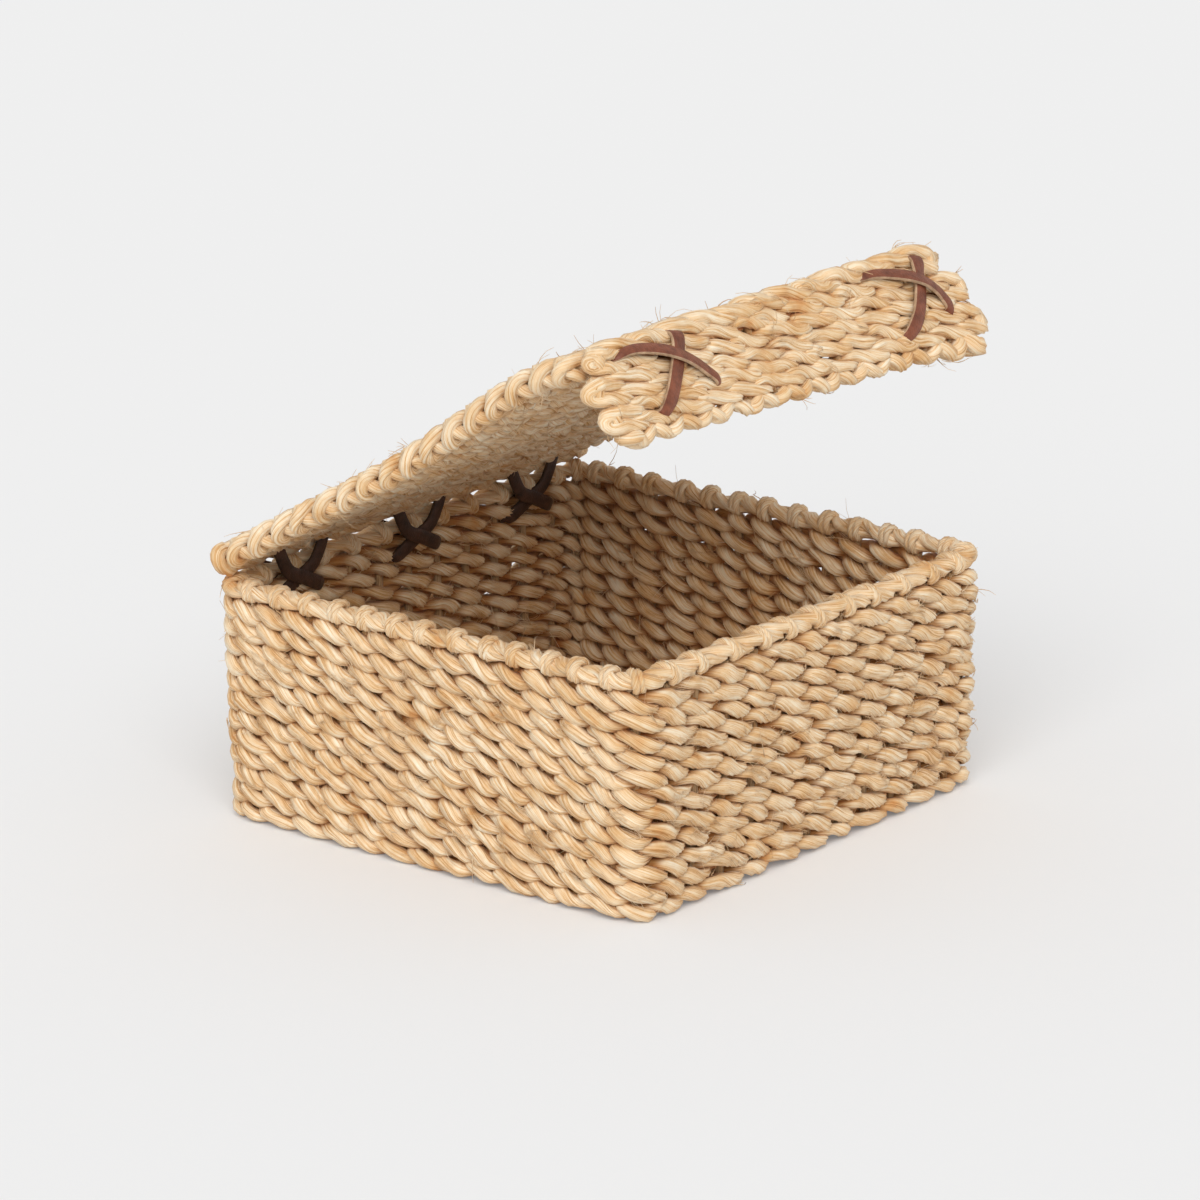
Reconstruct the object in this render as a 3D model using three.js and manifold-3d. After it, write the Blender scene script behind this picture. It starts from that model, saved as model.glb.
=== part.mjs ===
// A small square basket that holds a stack of folded paper napkins, with a woven lid.
// Twined courses of plant fibre are stacked round upright stakes, on a woven base and under a
// rope border. The lid is twined over stakes of its own, which bend down at the front into a lip.
// Leather laces tie the lid's rear rope to the rear wall, so the rope turns in them as a hinge.
// Millimetres, +Z up, hinge along X, lip towards -Y, origin at the middle of the underside.

import * as THREE from 'three';
import { mergeVertices } from 'three/addons/utils/BufferGeometryUtils.js';
import Module from 'manifold-3d';

const wasm = await Module();
wasm.setup();

// Box
const boxWidth = 200;
const boxDepth = 190;
const boxHeight = 86;
const wallThickness = 11.5;
const wallLean = 1.8;
const cornerRadius = 14;
const courseCount = 11;

// Strands of a course, and the stakes that they are twined round
const strandGap = 0.3;
const strandRound = 1.2;
const rimRound = 2.2;
const stakeThickness = 2.6;
const frontStakePitch = 16;
const sideStakePitch = 13;
const stakeClearance = 0.3;

// Lid, shown standing open, and the lip along its front edge
const lidOverhang = 3.5;
const lidThickness = 11.5;
const lidCourseCount = 16;
const lidStakePitch = 12.6;
const lidCrown = 5.6;
const lidCrownStart = 75;
const lidRestGap = 0.5;
const hingeRopeInset = 9;
const lidOpenAngle = 30;
const lipDrop = 38;
const lipThickness = 7.5;
const lipClearance = 0.7;
const lipCourseCount = 3;

// Leather laces
const laceWidth = 5;
const laceThickness = 1.5;
const laceGap = 0.3;
const hingeLaceRelief = 0.7;
const hingeLaceReach = 15;
const laceHumpRun = 4.5;
const lipLaceInset = 37;
const lipLaceDrop = 13.5;
const lipLaceSteep = { across: -24, down: 25 };
const lipLaceLong = { across: 44, down: 23 };

// Round steps, and the share of a strand that its rounding may take
const cornerSteps = 2;
const ropeSteps = 10;
const bellySteps = 6;
const roundShare = 0.35;

// Sizes that follow from the ones above
const rowPitch = boxHeight / (courseCount + 2);
const rowHeight = rowPitch - strandGap;
const slotWidth = stakeThickness + 2 * stakeClearance;
const stakeFoot = rowHeight / 2;
const axisY = boxDepth / 2 - wallThickness / 2;
const axisZ = boxHeight + lidRestGap + lidThickness / 2;
const lidWidth = boxWidth + 2 * lidOverhang;
const archRadius = Math.max(wallThickness, lidThickness) / 2 + hingeLaceRelief;
const archLayer = laceThickness + laceGap;
const lidStart = archRadius + 2 * archLayer + hingeLaceRelief;
const lipInner = axisY + boxDepth / 2 + lipClearance;
const lipOuter = lipInner + lipThickness;
const lipFoot = lidThickness / 2 - lipDrop;
const lidStakePairs = Math.floor((lidWidth / 2 - lidThickness) / lidStakePitch + 0.5);
const lidStakeSpan = (2 * lidStakePairs - 1) * lidStakePitch + stakeThickness;

const fibre = { color: 0xc9a673, roughness: 0.85, metalness: 0 };
const shadedFibre = { color: 0xa9865a, roughness: 0.9, metalness: 0 };
const lipLeather = { color: 0x6e3524, roughness: 0.55, metalness: 0 };
const hingeLeather = { color: 0x3a2118, roughness: 0.6, metalness: 0 };

const box = new THREE.Group();
const lid = new THREE.Group();
lid.position.set(0, axisY, axisZ);
lid.rotation.x = -THREE.MathUtils.degToRad(lidOpenAngle);

function addPiece(parent, name, geometry, finish) {
  const mesh = new THREE.Mesh(geometry, new THREE.MeshStandardMaterial(finish));
  mesh.name = name;
  parent.add(mesh);
  return mesh;
}

function numbered(name, index) {
  return `${name}_${String(index + 1).padStart(2, '0')}`;
}

function toSolid(geometry) {
  const bare = geometry.clone();
  bare.deleteAttribute('normal');
  bare.deleteAttribute('uv');
  const merged = mergeVertices(bare);
  return new wasm.Manifold(new wasm.Mesh({
    numProp: 3,
    vertProperties: new Float32Array(merged.attributes.position.array),
    triVerts: new Uint32Array(merged.index.array),
  }));
}

function toGeometry(solid) {
  const { vertProperties, triVerts } = solid.getMesh();
  const geometry = new THREE.BufferGeometry();
  geometry.setAttribute('position', new THREE.BufferAttribute(vertProperties, 3));
  geometry.setIndex(new THREE.BufferAttribute(triVerts, 1));
  return geometry;
}

// How far the wall stands in from the rim's outline at a height
function leanAt(height) {
  return wallLean * (1 - height / boxHeight);
}

// Rounding that still leaves some flat on a strand of this width
function roundFor(strandWidth, wanted) {
  return Math.min(wanted, strandWidth * roundShare);
}

function roundedRectangle(path, halfX, halfY, radius) {
  const quarter = Math.PI / 2;
  const corners = [[1, -1], [1, 1], [-1, 1], [-1, -1]];
  corners.forEach(([signX, signY], index) => {
    const start = (index - 1) * quarter;
    path.absarc(signX * (halfX - radius), signY * (halfY - radius), radius, start, start + quarter);
  });
  return path;
}

// A shape drawn inside its rounding, raised to a height with both edges rounded
function roundedSlab(shape, height, round, steps) {
  const geometry = new THREE.ExtrudeGeometry(shape, {
    depth: height - 2 * round,
    bevelThickness: round,
    bevelSize: round,
    bevelSegments: steps,
    curveSegments: cornerSteps,
  });
  return geometry.translate(0, 0, round);
}

// Stakes that stand in the straight run of a wall of this length
function wallStakes(sideLength, pitch) {
  const straight = sideLength - 2 * cornerRadius - slotWidth - 2 * strandRound;
  return Math.floor(straight / pitch) + 1;
}

// Slots for the stakes, along the middle of each wall, from just under their feet up
function cutStakeSlots(row, lean) {
  const middleX = boxWidth / 2 - lean - wallThickness / 2;
  const middleY = boxDepth / 2 - lean - wallThickness / 2;
  const middleZ = stakeFoot - stakeClearance + boxHeight / 2;
  const alongX = (wallStakes(boxWidth, frontStakePitch) - 1) * frontStakePitch + slotWidth;
  const alongY = (wallStakes(boxDepth, sideStakePitch) - 1) * sideStakePitch + slotWidth;
  let cut = toSolid(row);
  for (const side of [-1, 1]) {
    const acrossX = new THREE.BoxGeometry(alongX, slotWidth, boxHeight);
    const acrossY = new THREE.BoxGeometry(slotWidth, alongY, boxHeight);
    cut = cut.subtract(toSolid(acrossX.translate(0, side * middleY, middleZ)));
    cut = cut.subtract(toSolid(acrossY.translate(side * middleX, 0, middleZ)));
  }
  return toGeometry(cut);
}

// One row of the wall, from its underside up; the base is a row with no opening
function wallRow(underside, { open, slotted, wanted, steps }) {
  const lean = leanAt(underside + rowHeight / 2);
  const halfX = boxWidth / 2 - lean;
  const halfY = boxDepth / 2 - lean;
  const round = Math.min(roundFor(wallThickness, wanted), roundFor(rowHeight, wanted));
  const shape = roundedRectangle(new THREE.Shape(), halfX - round, halfY - round, cornerRadius - round);
  if (open) {
    const inset = wallThickness - round;
    const radius = Math.max(cornerRadius - wallThickness, strandRound) + round;
    shape.holes.push(roundedRectangle(new THREE.Path(), halfX - inset, halfY - inset, radius));
  }
  const row = roundedSlab(shape, rowHeight, round, steps).translate(0, 0, underside);
  return slotted ? cutStakeSlots(row, lean) : row;
}

// Base: a woven mat whose edge is the lowest row of the wall
addPiece(box, 'base_mat', wallRow(0, { open: false, slotted: true, wanted: strandRound, steps: 1 }), fibre);

// Wall: twined courses, each a closed ring with the stakes inside it
for (let index = 0; index < courseCount; index += 1) {
  const underside = (index + 1) * rowPitch;
  const ring = wallRow(underside, { open: true, slotted: true, wanted: strandRound, steps: 1 });
  addPiece(box, numbered('wall_course', index), ring, fibre);
}

// Rim: the rope border that covers the ends of the stakes
const rimUnderside = boxHeight - rowHeight;
const rim = wallRow(rimUnderside, { open: true, slotted: false, wanted: rimRound, steps: 2 });
addPiece(box, 'rim_border', rim, fibre);

// Stakes of one side: strands side by side, joined where their ends are turned along under a border
function stakeComb(count, pitch, foot, top) {
  const half = stakeThickness / 2;
  const railUnderside = top - stakeThickness;
  const first = -(count - 1) * pitch / 2;
  const outline = new THREE.Shape();
  outline.moveTo(first - half, top);
  for (let index = 0; index < count; index += 1) {
    const middle = first + index * pitch;
    if (index > 0) {
      outline.lineTo(middle - half, railUnderside);
    }
    outline.lineTo(middle - half, foot);
    outline.lineTo(middle + half, foot);
    if (index < count - 1) {
      outline.lineTo(middle + half, railUnderside);
    }
  }
  outline.lineTo(-first + half, top);
  outline.closePath();
  const comb = new THREE.ExtrudeGeometry(outline, { depth: stakeThickness, bevelEnabled: false });
  return comb.translate(0, 0, -half).rotateX(Math.PI / 2);
}

const stakeTop = rimUnderside - 2 * strandGap;
const leanAngle = Math.atan2(wallLean, boxHeight);
const walls = [
  ['stakes_front', boxWidth, boxDepth, frontStakePitch],
  ['stakes_right', boxDepth, boxWidth, sideStakePitch],
  ['stakes_rear', boxWidth, boxDepth, frontStakePitch],
  ['stakes_left', boxDepth, boxWidth, sideStakePitch],
];
walls.forEach(([name, along, across, pitch], index) => {
  const side = new THREE.Group();
  side.rotation.z = index * Math.PI / 2;
  box.add(side);
  const stakes = stakeComb(wallStakes(along, pitch), pitch, stakeFoot, stakeTop);
  const comb = addPiece(side, name, stakes, shadedFibre);
  comb.position.y = -(across / 2 - wallThickness / 2 - wallLean);
  comb.rotation.x = leanAngle;
});

// A row pair of the lid: two twined rows that turn back at both ends.
// It is drawn across X and as thick as given, and runs up along Z.
function twinedBar(thickness, run) {
  const round = Math.min(roundFor((thickness - slotWidth) / 2, strandRound), roundFor(run, strandRound));
  const end = thickness / 2 - round;
  const straight = lidWidth / 2 - round - end;
  const shape = new THREE.Shape();
  shape.absarc(straight, 0, end, -Math.PI / 2, Math.PI / 2);
  shape.absarc(-straight, 0, end, Math.PI / 2, 3 * Math.PI / 2);
  return roundedSlab(shape, run, round, 1);
}

// How high the lid bellies at a distance from the hinge: flat behind, then full, and down again at the fold
function crownAt(far) {
  const share = THREE.MathUtils.clamp((far - lidCrownStart) / (lipOuter - lidCrownStart), 0, 1);
  return lidCrown * Math.sin(Math.PI * share ** 2);
}

// Lifts a piece that is drawn flat to follow the lid's belly
function bellied(geometry) {
  const points = geometry.attributes.position;
  for (let index = 0; index < points.count; index += 1) {
    points.setZ(index, points.getZ(index) + crownAt(-points.getY(index)));
  }
  return geometry;
}

// A block as wide as all the lid's stakes, to cut their way through a row pair
function stakeWay(deep, high, y, z) {
  const across = lidStakeSpan + 2 * stakeClearance;
  return new THREE.BoxGeometry(across, deep, high, 1, bellySteps, 1).translate(0, y, z);
}

// Lid: row pairs side by side from the hinge to the fold
const lidPitch = (lipInner - lidStart) / lidCourseCount;
const lidSlot = toSolid(stakeWay(2 * lipInner, slotWidth, 0, 0));
for (let index = 0; index < lidCourseCount; index += 1) {
  const bar = twinedBar(lidThickness, lidPitch - strandGap).rotateX(Math.PI / 2);
  bar.translate(0, -(lidStart + index * lidPitch), 0);
  const course = bellied(toGeometry(toSolid(bar).subtract(lidSlot)));
  addPiece(lid, numbered('lid_course', index), course, fibre);
}

// Lip: row pairs hanging from the fold, over a rope border; the stakes turn down inside the first
const lipBorderRadius = lipThickness / 2;
const lipPitch = (lipDrop - 2 * lipBorderRadius) / lipCourseCount;
const lipMiddle = (lipInner + lipOuter) / 2;
const lipWayIn = toSolid(bellied(stakeWay(lipThickness, slotWidth, -lipInner, 0)));
const lipSlotTop = crownAt(lipMiddle - slotWidth / 2) + slotWidth / 2;
const lipSlot = toSolid(stakeWay(slotWidth, lipDrop, -lipMiddle, lipSlotTop - lipDrop / 2));
for (let index = 0; index < lipCourseCount; index += 1) {
  const foot = lidThickness / 2 - (index + 1) * lipPitch + strandGap;
  const bar = twinedBar(lipThickness, lipPitch - strandGap).translate(0, -lipMiddle, foot);
  const course = toSolid(bar).subtract(lipSlot).subtract(lipWayIn);
  addPiece(lid, numbered('lip_course', index), toGeometry(course), fibre);
}

function rope(radius, length) {
  const straight = length - 2 * radius;
  return new THREE.CapsuleGeometry(radius, straight, cornerSteps, ropeSteps).rotateZ(Math.PI / 2);
}

const lipBorder = rope(lipBorderRadius, lidWidth).translate(0, -lipMiddle, lipFoot + lipBorderRadius);
addPiece(lid, 'lip_border', lipBorder, fibre);

// Lid stakes, from the rear rope to the fold; the lid hinges on the rope that they are turned round
const lidStakeLength = lipMiddle + stakeThickness / 2;
let lidFrame = toSolid(rope(lidThickness / 2, boxWidth - 2 * hingeRopeInset));
for (let index = 0; index < 2 * lidStakePairs; index += 1) {
  const middle = (index - lidStakePairs + 0.5) * lidStakePitch;
  const stake = new THREE.BoxGeometry(stakeThickness, lidStakeLength, stakeThickness, 1, lidCourseCount, 1);
  lidFrame = lidFrame.add(toSolid(bellied(stake.translate(middle, -lidStakeLength / 2, 0))));
}
addPiece(lid, 'lid_stakes', toGeometry(lidFrame), shadedFibre);

// Lip stakes: the lid stakes' ends, bent down inside the lip as far as its border
const lipStakeTop = crownAt(lidStakeLength) - stakeThickness / 2 - stakeClearance;
const lipStakeEnd = lipFoot + 2 * lipBorderRadius + strandGap;
const lipComb = stakeComb(2 * lidStakePairs, lidStakePitch, -lipStakeTop, -lipStakeEnd).rotateY(Math.PI);
addPiece(lid, 'lip_stakes', lipComb.translate(0, -lipMiddle, 0), shadedFibre);

// Stands a side view, drawn with Y across and Z up, along X
const sideView = new THREE.Matrix4().makeBasis(
  new THREE.Vector3(0, 1, 0),
  new THREE.Vector3(0, 0, 1),
  new THREE.Vector3(1, 0, 0),
);

// Hinge laces: each arches over the rear rope and slants down both faces of the rear wall.
// Two of them cross as an X, one outside the other.
const slantStart = -(lidThickness / 2 + lidRestGap);
const slantAngle = Math.atan2(2 * lidStakePitch, hingeLaceReach);
const slantWidth = laceWidth / Math.cos(slantAngle);

function hingeLace(middle, lean, layer) {
  const inner = archRadius + layer * archLayer;
  const outer = inner + laceThickness;
  const foot = slantStart - hingeLaceReach;
  const arch = new THREE.Shape();
  arch.moveTo(outer, foot);
  arch.lineTo(outer, slantStart);
  arch.absarc(0, 0, outer, 0, Math.PI);
  arch.lineTo(-outer, slantStart);
  arch.lineTo(-outer, foot);
  arch.lineTo(-inner, foot);
  arch.lineTo(-inner, slantStart);
  arch.absarc(0, 0, inner, Math.PI, 0, true);
  arch.lineTo(inner, slantStart);
  arch.lineTo(inner, foot);
  arch.closePath();
  const band = new THREE.ExtrudeGeometry(arch, {
    depth: slantWidth,
    bevelEnabled: false,
    curveSegments: ropeSteps,
  });
  band.applyMatrix4(sideView).translate(-slantWidth / 2, 0, 0);
  const points = band.attributes.position;
  for (let index = 0; index < points.count; index += 1) {
    const below = Math.max(0, slantStart - points.getZ(index)) / hingeLaceReach;
    points.setX(index, points.getX(index) + lean * lidStakePitch * (1 - 2 * below));
  }
  return band.translate(middle, axisY, axisZ);
}

const wallRun = boxWidth / 2 - cornerRadius - laceWidth / 2;
const hingeLaceSpacing = (Math.floor(wallRun / lidStakePitch) - 1) * lidStakePitch;
['left', 'middle', 'right'].forEach((place, index) => {
  const middle = (index - 1) * hingeLaceSpacing;
  addPiece(box, `hinge_lace_${place}_inner`, hingeLace(middle, 1, 0), hingeLeather);
  addPiece(box, `hinge_lace_${place}_outer`, hingeLace(middle, -1, 1), hingeLeather);
});

// Lip laces: two straps that cross on the face of the lip, the long one humped over the steep one
const crossing = Math.atan2(lipLaceSteep.down, lipLaceSteep.across)
  - Math.atan2(lipLaceLong.down, lipLaceLong.across);
const crossingReach = laceWidth / 2 * (1 + Math.abs(Math.cos(crossing))) / Math.abs(Math.sin(crossing));

function lipLace({ across, down }, rise) {
  const half = Math.hypot(across, down) / 2;
  const flat = crossingReach + laceThickness;
  const slope = flat + laceHumpRun;
  const profile = new THREE.Shape();
  profile.moveTo(-half, 0);
  if (rise > 0) {
    profile.lineTo(-slope, 0);
    profile.lineTo(-flat, rise);
    profile.lineTo(flat, rise);
    profile.lineTo(slope, 0);
  }
  profile.lineTo(half, 0);
  profile.lineTo(half, laceThickness);
  if (rise > 0) {
    profile.lineTo(slope, laceThickness);
    profile.lineTo(flat, rise + laceThickness);
    profile.lineTo(-flat, rise + laceThickness);
    profile.lineTo(-slope, laceThickness);
  }
  profile.lineTo(-half, laceThickness);
  profile.closePath();
  const strap = new THREE.ExtrudeGeometry(profile, { depth: laceWidth, bevelEnabled: false });
  strap.translate(0, 0, -laceWidth / 2).rotateX(Math.PI).rotateY(Math.atan2(down, across));
  return strap;
}

for (const [place, side] of [['left', -1], ['right', 1]]) {
  const middle = side * (lidWidth / 2 - lipLaceInset);
  const height = lidThickness / 2 - lipLaceDrop;
  const steep = lipLace(lipLaceSteep, 0).translate(middle, -lipOuter - laceGap, height);
  const long = lipLace(lipLaceLong, archLayer).translate(middle, -lipOuter - laceGap, height);
  addPiece(lid, `lip_lace_${place}_steep`, steep, lipLeather);
  addPiece(lid, `lip_lace_${place}_long`, long, lipLeather);
}

const napkinHolder = new THREE.Group();
napkinHolder.add(box, lid);

export default napkinHolder;
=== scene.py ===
import math
import random

import bmesh
import bpy
import numpy as np
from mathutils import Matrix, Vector


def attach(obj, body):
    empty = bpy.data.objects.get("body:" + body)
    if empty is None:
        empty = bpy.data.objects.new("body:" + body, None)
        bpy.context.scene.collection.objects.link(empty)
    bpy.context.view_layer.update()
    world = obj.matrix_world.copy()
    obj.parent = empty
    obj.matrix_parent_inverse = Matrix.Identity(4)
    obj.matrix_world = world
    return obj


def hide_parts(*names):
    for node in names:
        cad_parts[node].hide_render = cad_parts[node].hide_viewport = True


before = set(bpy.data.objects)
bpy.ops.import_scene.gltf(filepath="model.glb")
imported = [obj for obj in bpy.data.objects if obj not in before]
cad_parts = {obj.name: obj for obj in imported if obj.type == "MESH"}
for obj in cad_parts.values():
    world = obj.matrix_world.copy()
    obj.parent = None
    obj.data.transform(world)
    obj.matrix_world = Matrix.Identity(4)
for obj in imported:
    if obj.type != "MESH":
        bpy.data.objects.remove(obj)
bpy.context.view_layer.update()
scene = bpy.context.scene
scene.view_settings.view_transform = "Standard"


# Studio: a plain pale floor, an even sky and one broad lamp on the left of the basket.
# The floor runs far past the view, so no horizon shows. It takes the basket's soft shadow,
# and a part of its paleness is its own, so that the shadow stays light.
floor_mesh = bpy.data.meshes.new("floor")
floor_shape = bmesh.new()
bmesh.ops.create_grid(floor_shape, x_segments=1, y_segments=1, size=9)
floor_shape.to_mesh(floor_mesh)
floor_shape.free()
floor = bpy.data.objects.new("floor", floor_mesh)
scene.collection.objects.link(floor)

floor_paint = bpy.data.materials.new("floor_paint")
floor_paint.use_nodes = True
floor_nodes, floor_link = floor_paint.node_tree.nodes, floor_paint.node_tree.links.new
floor_surface = floor_nodes["Principled BSDF"]
floor_surface.inputs["Base Color"].default_value = (0.82, 0.82, 0.82, 1)
floor_surface.inputs["Roughness"].default_value = 1
floor_surface.inputs["Specular IOR Level"].default_value = 0
floor_glow = floor_nodes.new("ShaderNodeEmission")
floor_glow.inputs["Color"].default_value = (0.887, 0.887, 0.887, 1)
floor_glow.inputs["Strength"].default_value = 1
ray = floor_nodes.new("ShaderNodeLightPath")
seen = floor_nodes.new("ShaderNodeMath")
seen.operation = "MAXIMUM"
floor_link(ray.outputs["Is Camera Ray"], seen.inputs[0])
floor_link(ray.outputs["Is Glossy Ray"], seen.inputs[1])
seen_through = floor_nodes.new("ShaderNodeMath")
seen_through.operation = "MAXIMUM"
floor_link(seen.outputs[0], seen_through.inputs[0])
floor_link(ray.outputs["Is Transmission Ray"], seen_through.inputs[1])
glow_share = floor_nodes.new("ShaderNodeMath")
glow_share.operation = "MULTIPLY"
glow_share.inputs[1].default_value = 0.15
floor_link(seen_through.outputs[0], glow_share.inputs[0])
floor_mix = floor_nodes.new("ShaderNodeMixShader")
floor_link(glow_share.outputs[0], floor_mix.inputs[0])
floor_link(floor_surface.outputs["BSDF"], floor_mix.inputs[1])
floor_link(floor_glow.outputs["Emission"], floor_mix.inputs[2])
floor_link(floor_mix.outputs["Shader"], floor_nodes["Material Output"].inputs["Surface"])
floor_mesh.materials.append(floor_paint)

sky = bpy.data.worlds.new("sky")
sky.use_nodes = True
sky.node_tree.nodes["Background"].inputs["Color"].default_value = (1, 1, 1, 1)
sky.node_tree.nodes["Background"].inputs["Strength"].default_value = 0.66
scene.world = sky

lamp_data = bpy.data.lights.new("broad_lamp", "SUN")
lamp_data.energy = 1.88
lamp_data.angle = math.radians(50)
lamp = bpy.data.objects.new("broad_lamp", lamp_data)
lamp.rotation_euler = Vector((-0.625, -0.430, 0.652)).to_track_quat("Z", "Y").to_euler()
scene.collection.objects.link(lamp)

camera_data = bpy.data.cameras.new("photo_camera")
camera_data.lens = 180
camera_data.sensor_width = 36
camera = bpy.data.objects.new("photo_camera", camera_data)
camera.location = (-1.5487, -1.2333, 0.6799)
aim = Vector((-0.1062, -0.0830, 0.1134)) - camera.location
camera.rotation_euler = aim.to_track_quat("-Z", "Y").to_euler()
scene.collection.objects.link(camera)
scene.camera = camera


# Wall stakes: plain strands of plant fibre that stand in the middle of the walls, a finger's breadth apart.
# They are bent up from the base, and the weavers are twisted round them; they show as dark bars in the gaps.
box_width, box_depth, box_height = 0.200, 0.190, 0.086
wall_thickness = 0.0115
wall_lean = 0.0018
wall_corner = 0.014
row_count = 13
row_pitch = box_height / row_count
front_stakes, front_stake_gap = 11, 0.016
side_stakes, side_stake_gap = 13, 0.013
stake_radius = 0.0017
stake_foot, stake_head = 0.004, 0.080
bend_parts = 12


def lean_at(height):
    return wall_lean * (1 - height / box_height)


def wall_round(height, steps=0):
    """Even steps along the middle of the wall at a height, or the stakes' places, from the middle of the rear.

    Gives the places, the way out at each, and how many stakes have been passed. A stake stands in each corner too.
    """
    half_x = box_width / 2 - wall_thickness / 2 - lean_at(height)
    half_y = box_depth / 2 - wall_thickness / 2 - lean_at(height)
    corner = wall_corner - wall_thickness / 2
    knots, outs = [(0, half_y)], [(0, 1)]
    for quarter, (side_x, side_y) in enumerate(((-1, 1), (-1, -1), (1, -1), (1, 1))):
        for part in range(bend_parts + 1):
            turn = math.pi / 2 * (quarter + 1 + part / bend_parts)
            out = (math.cos(turn), math.sin(turn))
            bend_x, bend_y = side_x * (half_x - corner), side_y * (half_y - corner)
            knots.append((bend_x + corner * out[0], bend_y + corner * out[1]))
            outs.append(out)
    knots, outs = np.array(knots + [(0, half_y)]), np.array(outs + [(0, 1)])
    run = np.concatenate(([0], np.cumsum(np.linalg.norm(np.diff(knots, axis=0), axis=1))))
    front_row = front_stake_gap * (np.arange(front_stakes) - (front_stakes - 1) / 2)
    side_row = side_stake_gap * (np.arange(side_stakes) - (side_stakes - 1) / 2)
    bend_starts, bend_ends = run[1:-1:bend_parts + 1], run[bend_parts + 1::bend_parts + 1]
    corners = (bend_starts + bend_ends) / 2
    middles = (bend_ends[:3] + bend_starts[1:]) / 2
    stakes = [front_row[front_row >= 0], corners[:1], middles[0] + side_row, corners[1:2], middles[1] + front_row,
              corners[2:3], middles[2] + side_row, corners[3:], run[-1] + front_row[front_row < 0]]
    stakes = np.concatenate(stakes)
    at = np.linspace(0, run[-1], steps, endpoint=False) if steps else stakes
    passed = np.interp(at, np.append(stakes, run[-1]), np.arange(len(stakes) + 1))
    x, y, out_x, out_y = (np.interp(at, run, row) for row in (*knots.T, *outs.T))
    places = np.stack([x, y, np.full(len(at), height)], 1)
    ways_out = np.stack([out_x, out_y, np.zeros(len(at))], 1)
    return places, ways_out / np.linalg.norm(ways_out, axis=1)[:, None], passed


def wobble(at, hand, size, busy):
    """The unevenness of hand work along a row: slow and quick waves that close on themselves."""
    waves = sum(np.sin(2 * math.pi * (hand.randint(1, busy) * at + hand.random())) for _ in range(6))
    return size * waves / math.sqrt(3)


def bundle(places, radii, lay, closed=False, outs=(0, 0, 1), flat=1.0, proud=1.0, depth=1.0):
    """A strand: its run, half width and twist, how flat it is pressed, and how proud of the weave's middle it lies,
    which with its depth sets its painted crevice shade.
    """
    count = len(places)
    along = {"radii": radii, "lay": lay, "flat": flat, "proud": proud}
    strand = {key: np.array(np.broadcast_to(value, count), float) for key, value in along.items()}
    strand.update(places=places, closed=closed, outs=np.array(np.broadcast_to(outs, (count, 3)), float), depth=depth)
    return strand


def sweep(name, strands, ridges):
    """Sweeps a ridged bundle of fibres along each strand and presses it flat; notes how open each point lies, which
    sets the painted crevice shade.
    """
    outline = bpy.data.curves.new(name, "CURVE")
    ring = outline.splines.new("POLY")
    ring.points.add(2 * ridges - 1)
    for index, point in enumerate(ring.points):
        turn = -math.pi * index / ridges
        reach = 0.88 + 0.05 * math.cos(3 * turn + 1) + 0.04 * math.cos(5 * turn) + (0.07, -0.07)[index % 2]
        point.co = (reach * math.cos(turn), reach * math.sin(turn), 0, 1)
    ring.use_cyclic_u = True
    section = bpy.data.objects.new(name, outline)
    line = bpy.data.curves.new(name, "CURVE")
    line.dimensions = "3D"
    line.bevel_mode = "OBJECT"
    line.bevel_object = section
    for strand in strands:
        spline = line.splines.new("POLY")
        spline.points.add(len(strand["places"]) - 1)
        spline.points.foreach_set("co", np.column_stack([strand["places"], np.ones(len(strand["places"]))]).ravel())
        spline.points.foreach_set("radius", strand["radii"])
        spline.points.foreach_set("tilt", strand["lay"])
        spline.use_cyclic_u = strand["closed"]
    swept = bpy.data.objects.new(name, line)
    scene.collection.objects.link(section)
    scene.collection.objects.link(swept)
    mesh = bpy.data.meshes.new_from_object(swept.evaluated_get(bpy.context.evaluated_depsgraph_get()))
    bpy.data.objects.remove(swept)
    bpy.data.objects.remove(section)

    starts = np.cumsum([0] + [2 * ridges * len(strand["places"]) for strand in strands])
    points = np.zeros(3 * len(mesh.vertices), np.float32)
    mesh.vertices.foreach_get("co", points)
    points = points.reshape(-1, 3)
    # Mask for the painted crevice shade, read by the fibre finish: 0 at the weave's middle, 1 out at its faces.
    shade_openness = np.ones(len(mesh.vertices), np.float32)
    for start, end, strand in zip(starts, starts[1:], strands):
        rings = points[start:end].reshape(-1, 2 * ridges, 3)
        outs = strand["outs"][:, None, :]
        offset = ((rings - strand["places"][:, None, :]) * outs).sum(2, keepdims=True)
        rings -= offset * outs * (1 - strand["flat"])[:, None, None]
        lie = strand["proud"][:, None] + offset[:, :, 0] * strand["flat"][:, None]
        shade_openness[start:end] = (np.abs(lie) / strand["depth"]).ravel()
    mesh.vertices.foreach_set("co", points.ravel())
    mesh.attributes.new("shade_openness", "FLOAT", "POINT").data.foreach_set("value", shade_openness)

    lengths = np.array([np.linalg.norm(np.diff(strand["places"], axis=0), axis=1).sum() for strand in strands])
    corner_points = np.zeros(len(mesh.loops), np.int32)
    mesh.loops.foreach_get("vertex_index", corner_points)
    owner = np.searchsorted(starts, corner_points, "right") - 1
    uv = np.zeros(2 * len(mesh.loops), np.float32)
    mesh.uv_layers[0].data.foreach_get("uv", uv)
    uv = uv.reshape(-1, 2)
    uv[:, 0] = uv[:, 0] * lengths[owner] * 100 + owner * 7.3
    mesh.uv_layers[0].data.foreach_set("uv", uv.ravel())
    ends = bmesh.new()
    ends.from_mesh(mesh)
    bmesh.ops.holes_fill(ends, edges=[edge for edge in ends.edges if edge.is_boundary])
    ends.to_mesh(mesh)
    ends.free()
    mesh.polygons.foreach_set("use_smooth", [True] * len(mesh.polygons))
    return mesh


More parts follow.
